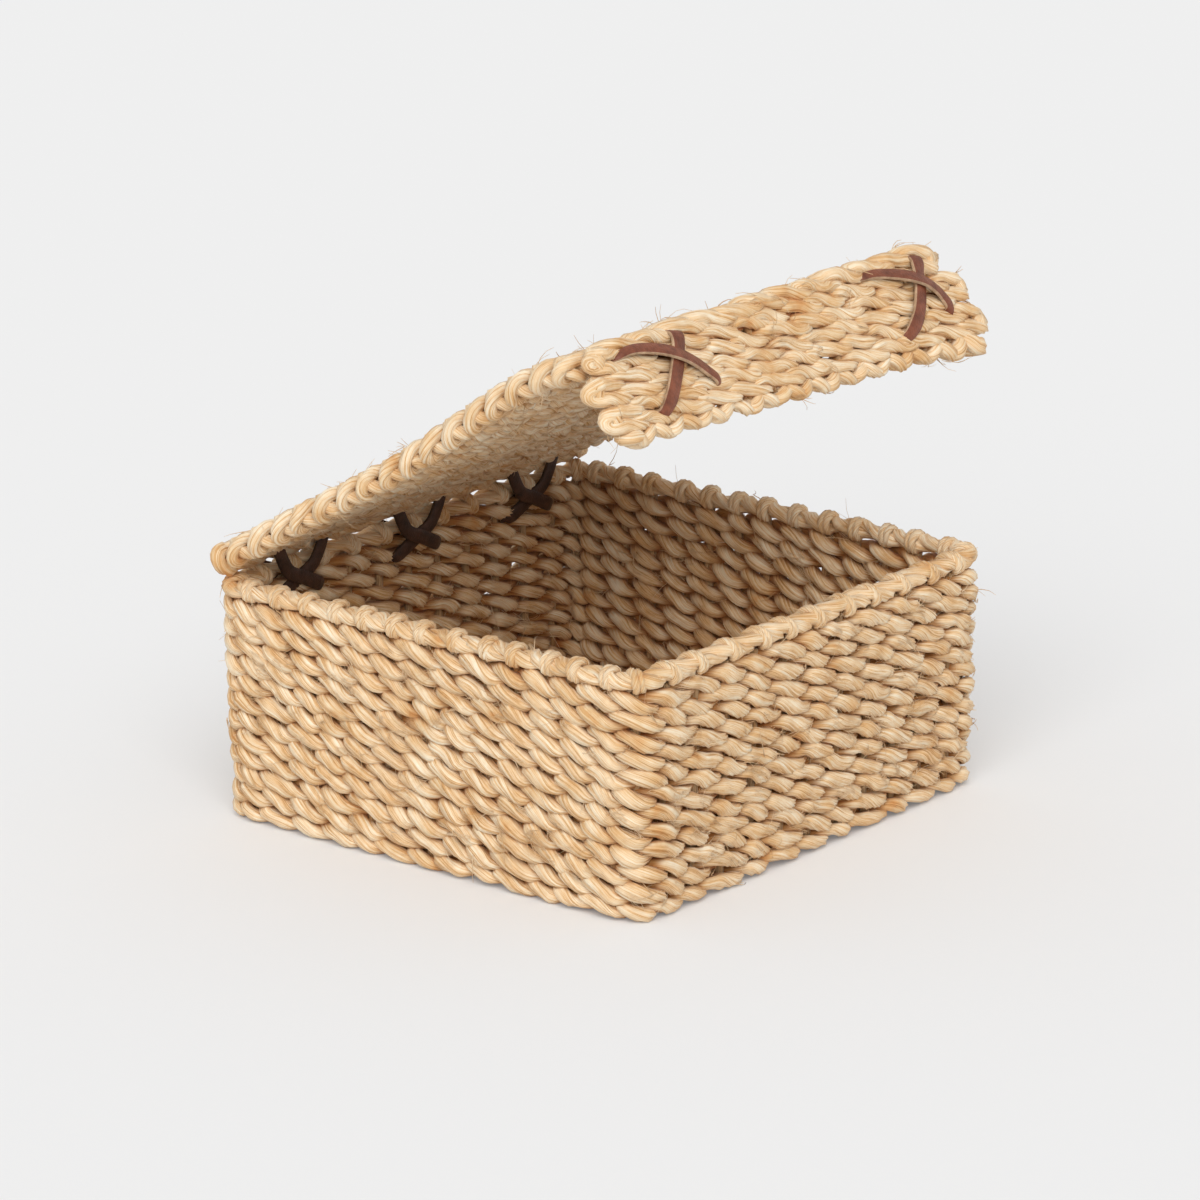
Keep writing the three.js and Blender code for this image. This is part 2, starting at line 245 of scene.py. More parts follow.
def lay_piece(name, mesh, finishes, body, slot, *nodes):
    """Makes a mesh a piece that rides on a body and stands for its CAD nodes."""
    mesh.name = name
    for finish in finishes:
        mesh.materials.append(finish)
    piece = bpy.data.objects.new(name, mesh)
    scene.collection.objects.link(piece)
    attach(piece, body)
    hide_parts(*nodes)


def fibre_finish(name, shade, straw, pale):
    """Dry plant fibre: fine lengthwise streaks, darker patches and a soft shine, with painted shade: warm brown where
    the strand dips towards the weave's middle, standing in for the shade in the crevices.
    """
    finish = bpy.data.materials.new(name)
    finish.use_nodes = True
    nodes, link = finish.node_tree.nodes, finish.node_tree.links.new
    surface = nodes["Principled BSDF"]
    surface.inputs["Specular IOR Level"].default_value = 0.35
    surface.inputs["Sheen Weight"].default_value = 0.12
    surface.inputs["Sheen Roughness"].default_value = 0.4
    along = nodes.new("ShaderNodeUVMap")
    stretch = nodes.new("ShaderNodeMapping")
    stretch.inputs["Scale"].default_value = (0.4, 16, 1)
    link(along.outputs["UV"], stretch.inputs["Vector"])
    streaks = nodes.new("ShaderNodeTexNoise")
    streaks.inputs["Scale"].default_value = 1
    streaks.inputs["Detail"].default_value = 5
    streaks.inputs["Roughness"].default_value = 0.78
    streaks.inputs["Distortion"].default_value = 0.2
    link(stretch.outputs["Vector"], streaks.inputs["Vector"])
    tone = nodes.new("ShaderNodeValToRGB")
    tone.color_ramp.elements[0].position = 0.36
    tone.color_ramp.elements[0].color = (*shade, 1)
    tone.color_ramp.elements[1].position = 0.60
    tone.color_ramp.elements[1].color = (*pale, 1)
    middle = tone.color_ramp.elements.new(0.46)
    middle.color = (*straw, 1)
    link(streaks.outputs["Fac"], tone.inputs["Fac"])
    place = nodes.new("ShaderNodeTexCoord")
    patches = nodes.new("ShaderNodeTexNoise")
    patches.inputs["Scale"].default_value = 85
    patches.inputs["Detail"].default_value = 3
    link(place.outputs["Object"], patches.inputs["Vector"])
    patch_tone = nodes.new("ShaderNodeValToRGB")
    patch_tone.color_ramp.elements[0].position = 0.25
    patch_tone.color_ramp.elements[0].color = (0.80, 0.55, 0.32, 1)
    patch_tone.color_ramp.elements[1].position = 0.6
    patch_tone.color_ramp.elements[1].color = (1, 1, 1, 1)
    dull = patch_tone.color_ramp.elements.new(0.36)
    dull.color = (0.86, 0.74, 0.58, 1)
    link(patches.outputs["Fac"], patch_tone.inputs["Fac"])
    colour = nodes.new("ShaderNodeMix")
    colour.data_type = "RGBA"
    colour.blend_type = "MULTIPLY"
    colour.inputs["Factor"].default_value = 1
    link(tone.outputs["Color"], colour.inputs["A"])
    link(patch_tone.outputs["Color"], colour.inputs["B"])
    # Painted shade: near the weave's middle the colour is multiplied by warm brown, standing in for the shade in the
    # crevices between strands.
    shade_openness = nodes.new("ShaderNodeAttribute")
    shade_openness.attribute_name = "shade_openness"
    painted_crevice_shade = nodes.new("ShaderNodeValToRGB")
    painted_crevice_shade.color_ramp.interpolation = "EASE"
    painted_crevice_shade.color_ramp.elements[0].position = 0.15
    painted_crevice_shade.color_ramp.elements[0].color = (0.58, 0.35, 0.16, 1)
    painted_crevice_shade.color_ramp.elements[1].position = 0.80
    painted_crevice_shade.color_ramp.elements[1].color = (1, 1, 1, 1)
    link(shade_openness.outputs["Fac"], painted_crevice_shade.inputs["Fac"])
    crevice_shade_mix = nodes.new("ShaderNodeMix")
    crevice_shade_mix.data_type = "RGBA"
    crevice_shade_mix.blend_type = "MULTIPLY"
    crevice_shade_mix.inputs["Factor"].default_value = 1
    link(colour.outputs["Result"], crevice_shade_mix.inputs["A"])
    link(painted_crevice_shade.outputs["Color"], crevice_shade_mix.inputs["B"])
    link(crevice_shade_mix.outputs["Result"], surface.inputs["Base Color"])
    gloss = nodes.new("ShaderNodeMapRange")
    gloss.inputs["To Min"].default_value = 0.5
    gloss.inputs["To Max"].default_value = 0.78
    link(streaks.outputs["Fac"], gloss.inputs["Value"])
    link(gloss.outputs["Result"], surface.inputs["Roughness"])
    grain = nodes.new("ShaderNodeBump")
    grain.inputs["Strength"].default_value = 0.7
    grain.inputs["Distance"].default_value = 0.0008
    link(streaks.outputs["Fac"], grain.inputs["Height"])
    link(grain.outputs["Normal"], surface.inputs["Normal"])
    return finish


stake_fibre = fibre_finish("stake_fibre", (0.26, 0.13, 0.05), (0.50, 0.31, 0.15), (0.68, 0.48, 0.27))
stake_hand = random.Random(11)
stake_feet, stake_outs, _ = wall_round(stake_foot)
stake_heads, _, _ = wall_round(stake_head)
stakes_of_side = {"rear": [], "left": [], "front": [], "right": []}
stake_steps = np.linspace(0, 1, 24)
for index, out in enumerate(stake_outs):
    run = stake_steps[:, None] * (stake_heads[index] - stake_feet[index]) + stake_feet[index]
    run = run + np.stack([wobble(stake_steps, stake_hand, 0.0002, 5) for _ in range(2)] + [0 * stake_steps], 1)
    thick = stake_radius * (1 + wobble(stake_steps, stake_hand, 0.05, 6))
    side = ("rear", "left", "front", "right")[int((math.atan2(out[1], out[0]) / math.pi * 2 + 3.51) % 4)]
    stakes_of_side[side].append(bundle(run, thick, stake_steps * 4))
for side, strands in stakes_of_side.items():
    side_mesh = sweep("stakes", strands, 5)
    lay_piece(f"wall_stakes_{side}", side_mesh, [stake_fibre], "box", "stake_fibre", f"stakes_{side}")


# Base mat: rows of two weavers twisted round the stakes from side to side, beaten close together.
# The lowest row of the wall runs round it as a rolled edge, on which the basket stands.
weaver_fibre = fibre_finish("weaver_fibre", (0.54, 0.28, 0.10), (0.86, 0.585, 0.315), (0.97, 0.85, 0.65))
weaver_radius = 0.0031
weaver_flat = 0.82
weave_swing = 0.0032
weave_rise = 0.0020
edgeways = 1.1
weave_step = 0.0015
round_steps = 470


def twine(places, outs, ups, passed, swing, rise, radius, flat, hand, closed):
    """Two weavers twisted round each other, so that one of them lies over each stake and slants down across it."""
    steps = len(places)
    at = np.arange(steps) / steps if closed else np.linspace(0, 1, steps)
    stakes = int(passed[-1]) + 1
    busy = max(4, stakes // 2)
    drift = hand.uniform(-0.6, 0.6) + wobble(at, hand, 0.3, busy)
    sway = ups * wobble(at, hand, 0.0003, busy)[:, None]
    strands = []
    for ply in (0, 1):
        turn = math.pi * (passed + ply) + drift
        across = np.cos(turn) + 0.22
        bulge = np.sign(across) * (np.abs(across) / 1.22) ** 0.7
        proud = swing * bulge * (1 + wobble(at, hand, 0.05, busy))
        slant = ups * (-rise * np.sin(turn))[:, None]
        thick = radius * (0.73 + 0.27 * bulge ** 2) * (1 + wobble(at, hand, 0.08, 2 * stakes))
        lay = 2 * math.pi * at * round(steps * weave_step / 0.05) + wobble(at, hand, 0.25, stakes)
        run = places + outs * proud[:, None] + slant + sway
        pressed = flat * (1 + edgeways * (1 - bulge ** 2))
        strands.append(bundle(run, thick, lay, closed, outs, pressed, proud, swing + radius * flat))
    return strands


def with_loose_fibres(mesh, strands, tufts, hand, kept_clear=()):
    """Adds fibres that have worked loose: tufts of fine short hairs along the strands, but not in stretches of X."""
    line = bpy.data.curves.new("loose_fibres", "CURVE")
    line.dimensions = "3D"
    line.bevel_depth = 1
    line.bevel_resolution = 0
    line.use_fill_caps = True
    for _ in range(tufts):
        strand = hand.choice(strands)
        at = hand.randrange(1, len(strand["places"]) - 1)
        if any(low < strand["places"][at][0] < high for low, high in kept_clear):
            continue
        along = Vector(strand["places"][at] - strand["places"][at - 1]).normalized() * hand.choice((-1, 1))
        out = Vector(strand["outs"][at]) * hand.choice((1, 1, -1))
        away = out + Vector([hand.gauss(0, 0.45) for _ in range(3)])
        away = (away - away.project(along)).normalized()
        side = along.cross(away)
        reach = float(strand["radii"][at] * (1 - (1 - strand["flat"][at]) * abs(away.dot(out))))
        root = Vector(strand["places"][at]) + 0.95 * reach * away
        lift = hand.choice((0.04, 0.07, 0.1, 0.22))
        for _ in range(hand.randint(2, 5)):
            start = root + side * hand.uniform(-0.0012, 0.0012) + along * hand.uniform(-0.0015, 0.0015)
            heading = along + side * hand.gauss(0, 0.5)
            bow = side * hand.gauss(0, 0.3)
            length = hand.uniform(0.0020, 0.0080)
            thick = hand.uniform(0.00009, 0.00019)
            spline = line.splines.new("POLY")
            spline.points.add(3)
            for index, point in enumerate(spline.points):
                part = index / 3
                arch = lift * math.sin(2.6 * part) * away
                point.co = (*(start + length * (part * heading + arch + part * part * bow)), 1)
                point.radius = thick * (1 - 0.6 * part)
    swept = bpy.data.objects.new("loose_fibres", line)
    scene.collection.objects.link(swept)
    hairs = bpy.data.meshes.new_from_object(swept.evaluated_get(bpy.context.evaluated_depsgraph_get()))
    bpy.data.objects.remove(swept)
    # Loose fibres get no painted crevice shade.
    hairs.attributes.new("shade_openness", "FLOAT", "POINT").data.foreach_set("value", [1.0] * len(hairs.vertices))
    joined = bmesh.new()
    joined.from_mesh(mesh)
    joined.from_mesh(hairs)
    joined.to_mesh(mesh)
    joined.free()
    return mesh


def stand_on_floor(mesh):
    """Presses whatever would reach below the floor flat on it."""
    for vert in mesh.vertices:
        vert.co.z = max(vert.co.z, 0.0001)
    return mesh


base_hand = random.Random(21)
base_rows = 27
base_half_x = 0.0895
base_half_y = 0.0835
base_height = 0.0031
base_crossings, base_steps = 14, 90
base_swing, base_rise, base_radius, base_flat = 0.0013, 0.0015, 0.0029, 0.5
edge_height, edge_rise, edge_radius = 0.0037, 0.0012, 0.0028
base_strands = []
for index in range(base_rows):
    steps = np.linspace(-base_half_x, base_half_x, base_steps)
    row_y = base_half_y * (2 * (index + 0.5) / base_rows - 1)
    places = np.stack([steps, np.full(base_steps, row_y), np.full(base_steps, base_height)], 1)
    outs = np.tile((0, 0, 1), (base_steps, 1))
    ups = np.tile((0, 1, 0), (base_steps, 1))
    passed = np.linspace(0, base_crossings, base_steps)
    base_strands += twine(places, outs, ups, passed, base_swing, base_rise, base_radius, base_flat, base_hand, False)
edge_places, edge_outs, edge_passed = wall_round(edge_height, round_steps)
edge_ups = np.tile((0, 0, 1), (round_steps, 1))
base_strands += twine(edge_places, edge_outs, edge_ups, edge_passed, weave_swing, edge_rise, edge_radius, weaver_flat,
                      base_hand, True)
base_mesh = with_loose_fibres(sweep("base", base_strands, 6), base_strands, 80, base_hand)
lay_piece("woven_base", stand_on_floor(base_mesh), [weaver_fibre], "box", "twined_fibre", "base_mat")


# Wall courses: two weavers of twisted plant fibre laid round the basket, row on row.
# They cross between each stake and the next, so every stake has one slanting strand over it.
for course in range(1, row_count - 1):
    course_hand = random.Random(100 + course)
    places, outs, passed = wall_round((course + 0.5) * row_pitch, round_steps)
    ups = np.tile((0, 0, 1), (round_steps, 1))
    strands = twine(places, outs, ups, passed, weave_swing, weave_rise, weaver_radius, weaver_flat, course_hand, True)
    course_mesh = with_loose_fibres(sweep("course", strands, 12), strands, 160, course_hand)
    lay_piece(f"twined_course_{course:02d}", stand_on_floor(course_mesh), [weaver_fibre], "box", "twined_fibre",
              f"wall_course_{course:02d}")


# Rim border: the last round of rope, with the end of each stake brought up and wrapped over it twice.
# The wraps stand a little proud, so the rim looks beaded.
rim_hand = random.Random(31)
rim_height = (row_count - 0.5) * row_pitch + 0.0003
rim_swing, rim_rise, rim_radius, rim_flat = 0.0022, 0.0010, 0.0027, 0.9
wrap_steps = 16
wrap_reach, wrap_lift, wrap_radius = 0.0039, 0.0030, 0.0015
rim_places, rim_outs, rim_passed = wall_round(rim_height, round_steps)
rim_ups = np.tile((0, 0, 1), (round_steps, 1))
rim_strands = twine(rim_places, rim_outs, rim_ups, rim_passed, rim_swing, rim_rise, rim_radius, rim_flat,
                    rim_hand, True)
# The rim rope is set clear of the painted crevice shade.
for strand in rim_strands:
    strand["proud"] += 1
wrap_places, wrap_outs, _ = wall_round(rim_height)
wrap_strands = []
for middle, out in zip(wrap_places, wrap_outs):
    side = np.array((-out[1], out[0], 0))
    slip = rim_hand.uniform(-0.0012, 0.0012)
    for turn in (-1, 1):
        bend = np.linspace(math.radians(-70), math.radians(250), wrap_steps)
        reach = np.cos(bend)[:, None] * out * (wrap_reach + rim_hand.uniform(-0.0003, 0.0003))
        lift = np.sin(bend)[:, None] * np.array((0, 0, wrap_lift))
        lean = (slip + turn * 0.0010 + np.linspace(0.0014, -0.0014, wrap_steps))[:, None] * side
        thick = np.full(wrap_steps, wrap_radius + rim_hand.uniform(-0.0002, 0.0002))
        thick[[0, -1]] *= 0.6
        wrap_strands.append(bundle(middle + reach + lift + lean, thick, bend * 2))
rim_mesh = with_loose_fibres(sweep("rim", rim_strands + wrap_strands, 6), rim_strands, 60, rim_hand)
lay_piece("rim_rope", rim_mesh, [weaver_fibre], "box", "twined_fibre", "rim_border")


# Lid stakes: strands from the rear rope through the lid to the fold, drawn shut and then swung open.
# The rope is two thick strands that turn back into each other at both ends; it turns in the hinge laces.
axis_y, axis_z = 0.08925, 0.09225
lid_open = math.radians(30)
lid_crown = 0.0056
crown_start, crown_end = 0.075, 0.19245
tie_reach, tie_squeeze, core_squeeze = 0.0042, 0.17, 0.28


def swing_open(mesh):
    """Gives a mesh that is drawn flat and shut, from the hinge line, the lid's belly, and opens it with the lid."""
    points = np.zeros(3 * len(mesh.vertices), np.float32)
    mesh.vertices.foreach_get("co", points)
    x, back, high = points.reshape(-1, 3).T
    share = np.clip((-back - crown_start) / (crown_end - crown_start), 0, 1)
    high = high + lid_crown * np.sin(math.pi * share ** 2)
    y = axis_y + back * math.cos(lid_open) + high * math.sin(lid_open)
    z = axis_z - back * math.sin(lid_open) + high * math.cos(lid_open)
    mesh.vertices.foreach_set("co", np.stack([x, y, z], 1).astype(np.float32).ravel())
    return mesh


def doubled_rope(half_length, crossings, swing, end_swing, radius, squeezed_at, hand):
    """One strand laid out and back along X, twisted round itself, looped at both ends and squeezed where it is tied."""
    run = np.linspace(-1, 1, 10 * crossings)
    spread = swing + (end_swing - swing) * np.clip((np.abs(run) - 0.88) / 0.12, 0, 1) ** 2
    turn = math.pi * crossings * (run + 1) / 2 + wobble((run + 1) / 2, hand, 0.4, 9) * (1 - run ** 2)
    bend = np.linspace(0, math.pi, 9)[1:-1]
    laid = []
    for side in (1, -1):
        laid.append(side * np.stack([half_length * run, spread * np.sin(turn), spread * np.cos(turn)], 1))
        laid.append(side * np.stack([half_length + end_swing * np.sin(bend), 0 * bend, end_swing * np.cos(bend)], 1))
    places = np.concatenate(laid)
    at = np.arange(len(places)) / len(places)
    thick = radius * (1 + wobble(at, hand, 0.06, 40))
    for tie in squeezed_at:
        squeeze = tie_squeeze * np.exp(-((places[:, 0] - tie) / tie_reach) ** 2)
        places[:, 1:] *= 1 - squeeze[:, None]
        thick *= 1 - squeeze
    return bundle(places, thick, at * 20 * math.pi, True)


lid_hand = random.Random(41)
lid_stake_count = 16
stake_gap = 0.0126
lid_stake_length = 0.186
rope_half_length, rope_radius, rope_core = 0.0950, 0.0031, 0.0060
lid_strands = []
for index in range(lid_stake_count):
    back = np.linspace(0, -lid_stake_length, 40)
    x = np.full(40, (index - (lid_stake_count - 1) / 2) * stake_gap)
    lid_strands.append(bundle(np.stack([x, back, 0 * back], 1), stake_radius, back * 50))
lashed_at = (-0.0756, -0.0504, -0.0126, 0.0126, 0.0504, 0.0756)
lid_strands.append(doubled_rope(rope_half_length, 14, 0.0026, 0.0034, rope_radius, lashed_at, lid_hand))
rope_run = np.linspace(-0.094, 0.094, 90)
tied = sum(np.exp(-((rope_run - tie) / tie_reach) ** 2) for tie in lashed_at)
core_places = np.stack([rope_run, 0 * rope_run, 0 * rope_run], 1)
lid_strands.append(bundle(core_places, rope_core * (1 - core_squeeze * tied), rope_run * 90))
lid_mesh = swing_open(sweep("lid_stakes", lid_strands, 6))
lay_piece("lid_stakes_and_rope", lid_mesh, [weaver_fibre], "lid", "stake_fibre", "lid_stakes")


# Lid courses: pairs of twined rows side by side from the hinge to the fold.
# At both sides the weavers hang over the edge and come back, so the edges are rows of fat loops.
lid_half_width = 0.1035
lid_pairs = 16
lid_start = 0.0068
lid_end = 0.1842
pair_pitch = (lid_end - lid_start) / lid_pairs
lid_crossings = 14
lid_swing, lid_rise, lid_radius, lid_flat = 0.0031, 0.0014, 0.0027, 0.85
loop_room = 0.0068
lid_outer_loop, lid_inner_loop = (0.0048, 0.0004, -0.0012), (0.0020, 0, 0.0004)


def looped_rows(left, right, first, second, crossings, swing, rise, radius, flat, outer, inner, crossed, hand):
    """Two weavers twined along one row, round the edge in a loop and back along the next, as x, across and out."""
    middle, half = (first + second) / 2, (second - first) / 2
    centre, half_width = (left + right) / 2, (right - left) / 2
    at = np.linspace(0, 1, int(2 * half_width / weave_step), endpoint=False)
    bend = np.linspace(0, math.pi, 11, endpoint=False)
    strands = []
    for ply in (0, 1):
        places, widths = [], []
        for side in (1, -1):
            face = ply + (crossed and side < 0)
            turn = math.pi * (crossings * at + face) + wobble(at, hand, 0.35, 8) * np.sin(math.pi * at)
            across = np.cos(turn) + 0.2
            bulge = np.sign(across) * (np.abs(across) / 1.2) ** 0.6
            slide = wobble(at, hand, 0.0003, 8) * np.sin(math.pi * at)
            x = centre + side * half_width * (2 * at - 1)
            places.append(np.stack([x, middle - side * half + side * rise * np.sin(turn) + slide, swing * bulge], 1))
            widths.append(radius * (0.72 + 0.28 * bulge ** 2) * (1 + wobble(at, hand, 0.07, 24)))
            reach, dip, lean = inner if face % 2 else outer
            reach, dip = reach * hand.uniform(0.85, 1.15), dip * hand.uniform(0.9, 1.1)
            rise_out = swing * bulge[0] * (np.cos(bend) if crossed else 1)
            places.append(np.stack([
                centre + side * (half_width + reach * np.sin(bend)),
                middle - side * half * np.cos(bend) + lean * np.sin(bend),
                rise_out - dip * np.sin(bend),
            ], 1))
            widths.append(radius * hand.uniform(0.84, 0.96) * (1 + wobble(bend / math.pi, hand, 0.06, 4)))
        places, widths = np.concatenate(places), np.concatenate(widths)
        widths = sum(np.roll(widths, step) for step in range(-3, 4)) / 7
        at_strand = np.arange(len(places)) / len(places)
        lay = 12 * math.pi * at_strand + wobble(at_strand, hand, 0.5, 30)
        # turned is 1 in the edge loops, which stay round and get no painted crevice shade.
        turned = np.clip((np.abs(places[:, 0] - centre) - half_width) / 0.006 + 1, 0, 1)
        proud = places[:, 2] + turned
        pressed = flat * (1 + edgeways * (1 - np.clip(places[:, 2] / swing, -1, 1) ** 2))
        pressed = pressed * (1 - turned) + turned
        strands.append((places, widths, lay, pressed, proud, swing + radius * flat))
    return strands


for pair in range(lid_pairs):
    pair_hand = random.Random(200 + pair)
    first = lid_start + (pair + 0.25) * pair_pitch
    second = lid_start + (pair + 0.75) * pair_pitch
    corner = (0, 0.004, 0.010)[max(0, pair - lid_pairs + 3)]
    left = -lid_half_width + loop_room + pair_hand.uniform(-0.0006, 0.0012)
    right = lid_half_width - loop_room - corner + pair_hand.uniform(-0.0012, 0.0006)
    strands = []
    rows = looped_rows(left, right, first, second, lid_crossings, lid_swing, lid_rise, lid_radius, lid_flat,
                       lid_outer_loop, lid_inner_loop, True, pair_hand)
    for drawn, widths, lay, *pressed in rows:
        strands.append(bundle(drawn * (1, -1, 1), widths, lay, True, (0, 0, 1), *pressed))
    pair_mesh = with_loose_fibres(sweep("pair", strands, 8), strands, 26, pair_hand)
    lay_piece(f"lid_rows_{pair + 1:02d}", swing_open(pair_mesh), [weaver_fibre], "lid", "twined_fibre",
              f"lid_course_{pair + 1:02d}")


# Lip: the front of the lid, folded down over the wall: three more pairs of rows on the bent stakes.
# A rope that turns back at both ends, with the stakes' ends wrapped over it, finishes its lower edge.
lip_middle = 0.1887
lip_top = 0.0062
lip_pitch = 0.0103
lip_pairs = 3
lip_slope = 0.9
lip_droop = 0.003
lip_crossings = 12
lip_swing, lip_rise, lip_radius, lip_flat = 0.0016, 0.0015, 0.0031, 0.78
lip_outer_loop, lip_inner_loop = (0.0048, 0.0020, 0.0008), (0.0022, -0.0022, 0)


def hang(drawn):
    """Hangs points drawn as x, distance down the lip and height off its middle at the front of the shut lid."""
    down = drawn[:, 1] * (1.03 + lip_slope * drawn[:, 0])
    down = down + lip_droop * np.clip((drawn[:, 0] - 0.05) / 0.045, 0, 1) ** 2 * (drawn[:, 1] / 0.034) ** 2
    return np.stack([drawn[:, 0], -lip_middle - drawn[:, 2], lip_top - down], 1)


lip_stake_strands = []
for index in range(14):
    down = np.linspace(0.004, 0.032, 10)
    x = np.full(10, (index - 6.5) * stake_gap)
    lip_stake_strands.append(bundle(hang(np.stack([x, down, 0 * down], 1)), 0.0015, down * 50))
lip_stake_mesh = swing_open(sweep("lip_stakes", lip_stake_strands, 5))
lay_piece("lip_stake_ends", lip_stake_mesh, [stake_fibre], "lid", "stake_fibre", "lip_stakes")

strapped = ((-0.098, -0.040), (0.040, 0.086))
for pair in range(lip_pairs):
    pair_hand = random.Random(300 + pair)
    left, right = ((-0.0945, 0.0825), (-0.1000, 0.0925), (-0.0975, 0.0950))[pair]
    strands = []
    fold = lip_pitch / 2 * (pair == 0)
    first, second = (pair + 0.25) * lip_pitch, (pair + 0.75) * lip_pitch
    rows = looped_rows(left, right, first, second, lip_crossings, lip_swing, lip_rise, lip_radius, lip_flat,
                       lip_outer_loop, lip_inner_loop, False, pair_hand)
    for drawn, widths, lay, flat, proud, depth in rows:
        # The fold of the first pair is kept clear of the painted crevice shade.
        proud = np.where(drawn[:, 1] < fold, 1, proud)
        strands.append(bundle(hang(drawn), widths, lay, True, (0, -1, 0), flat, proud, depth))
    pair_mesh = with_loose_fibres(sweep("lip", strands, 8), strands, 40, pair_hand, strapped)
    lay_piece(f"lip_rows_{pair + 1:02d}", swing_open(pair_mesh), [weaver_fibre], "lid", "twined_fibre",
              f"lip_course_{pair + 1:02d}")

border_hand = random.Random(51)
border_down = lip_pairs * lip_pitch + 0.0024
border_rope = doubled_rope(0.0905, 26, 0.0015, 0.0034, 0.0025, (), border_hand)
border_drawn = border_rope["places"] * (1, 1, 0.9) + (-0.0035, border_down, 0)
border_thick = border_rope["radii"] * (1 + 0.35 * np.clip((border_drawn[:, 0] - 0.06) / 0.03, 0, 1))
border_strands = [bundle(hang(border_drawn), border_thick, border_rope["lay"], True)]
border_mesh = with_loose_fibres(sweep("border", border_strands, 8), border_strands, 30, border_hand)
lay_piece("lip_edge_rope", swing_open(border_mesh), [weaver_fibre], "lid", "twined_fibre", "lip_border")


# Hinge laces: dark leather straps, two to a lashing, tied tight over the lid's rear rope.
# They slant down both faces of the rear wall, cross there, and their ends are tucked into the weave.
lace_width = 0.0050
lace_thickness = 0.0012


def line_through(points, count):
    """A smooth line through a few points."""
    points = np.array(points, float)
    knots = np.vstack([2 * points[0] - points[1], points, 2 * points[-1] - points[-2]])
    at = np.linspace(0, len(points) - 1 - 1e-6, count)
    span = at.astype(int)
    part = (at - span)[:, None]
    before, start, end, after = (knots[span + step] for step in range(4))
    bend = 2 * before - 5 * start + 4 * end - after
    swerve = 3 * start - before - 3 * end + after
    return 0.5 * (2 * start + (end - before) * part + bend * part ** 2 + swerve * part ** 3)


def cut_strap(name, line, ways_out, widths, thickness):
    """A strap cut from hide, laid along a line with its face outwards; its cut edges take the second finish."""
    ways = np.gradient(line, axis=0)
    acrosses = np.cross(ways_out, ways)
    acrosses /= np.linalg.norm(acrosses, axis=1)[:, None]
    shape = bmesh.new()
    bmesh.ops.create_grid(shape, x_segments=len(line) - 1, y_segments=4, size=1)
    row = shape.verts.layers.int.new("row")
    for vert in shape.verts:
        at = vert[row] = round((vert.co.x + 1) / 2 * (len(line) - 1))
        sag = -0.0003 * vert.co.y ** 2
        vert.co = Vector(line[at] + acrosses[at] * vert.co.y * widths[at] / 2 + ways_out[at] * sag)
    face_points = set(shape.verts)
    backed = bmesh.ops.extrude_face_region(shape, geom=shape.faces[:], use_keep_orig=True)["geom"]
    for vert in backed:
        if isinstance(vert, bmesh.types.BMVert):
            vert.co -= Vector(ways_out[vert[row]]) * thickness
    shape.normal_update()
    for face in shape.faces:
        on_face = sum(vert in face_points for vert in face.verts)
        face.material_index = int(0 < on_face < len(face.verts))
    bmesh.ops.recalc_face_normals(shape, faces=shape.faces[:])
    cut_edges = [edge for edge in shape.edges if len({face.material_index for face in edge.link_faces}) == 2]
    bmesh.ops.bevel(shape, geom=cut_edges, offset=0.0002, segments=2, profile=0.5, affect="EDGES", material=-1)
    shape.verts.layers.int.remove(row)
    mesh = bpy.data.meshes.new(name)
    shape.to_mesh(mesh)
    shape.free()
    mesh.polygons.foreach_set("use_smooth", [True] * len(mesh.polygons))
    return mesh


def leather_finish(name, dark, warm, gloss_low, gloss_high, grain_scale):
    """Leather: clouded colour, fine pores, and a face that is smoother where it is paler."""
    finish = bpy.data.materials.new(name)
    finish.use_nodes = True
    nodes, link = finish.node_tree.nodes, finish.node_tree.links.new
    surface = nodes["Principled BSDF"]
    surface.inputs["Specular IOR Level"].default_value = 0.4
    place = nodes.new("ShaderNodeTexCoord")
    clouds = nodes.new("ShaderNodeTexNoise")
    clouds.inputs["Scale"].default_value = 260
    clouds.inputs["Detail"].default_value = 5
    clouds.inputs["Roughness"].default_value = 0.65
    link(place.outputs["Object"], clouds.inputs["Vector"])
    tone = nodes.new("ShaderNodeValToRGB")
    tone.color_ramp.elements[0].position = 0.32
    tone.color_ramp.elements[0].color = (*dark, 1)
    tone.color_ramp.elements[1].position = 0.66
    tone.color_ramp.elements[1].color = (*warm, 1)
    link(clouds.outputs["Fac"], tone.inputs["Fac"])
    link(tone.outputs["Color"], surface.inputs["Base Color"])
    gloss = nodes.new("ShaderNodeMapRange")
    gloss.inputs["To Min"].default_value = gloss_high
    gloss.inputs["To Max"].default_value = gloss_low
    link(clouds.outputs["Fac"], gloss.inputs["Value"])
    link(gloss.outputs["Result"], surface.inputs["Roughness"])
    pores = nodes.new("ShaderNodeTexVoronoi")
    pores.inputs["Scale"].default_value = grain_scale
    link(place.outputs["Object"], pores.inputs["Vector"])
    grain = nodes.new("ShaderNodeBump")
    grain.inputs["Strength"].default_value = 0.35
    grain.inputs["Distance"].default_value = 0.0004
    link(pores.outputs["Distance"], grain.inputs["Height"])
    link(grain.outputs["Normal"], surface.inputs["Normal"])
    return finish


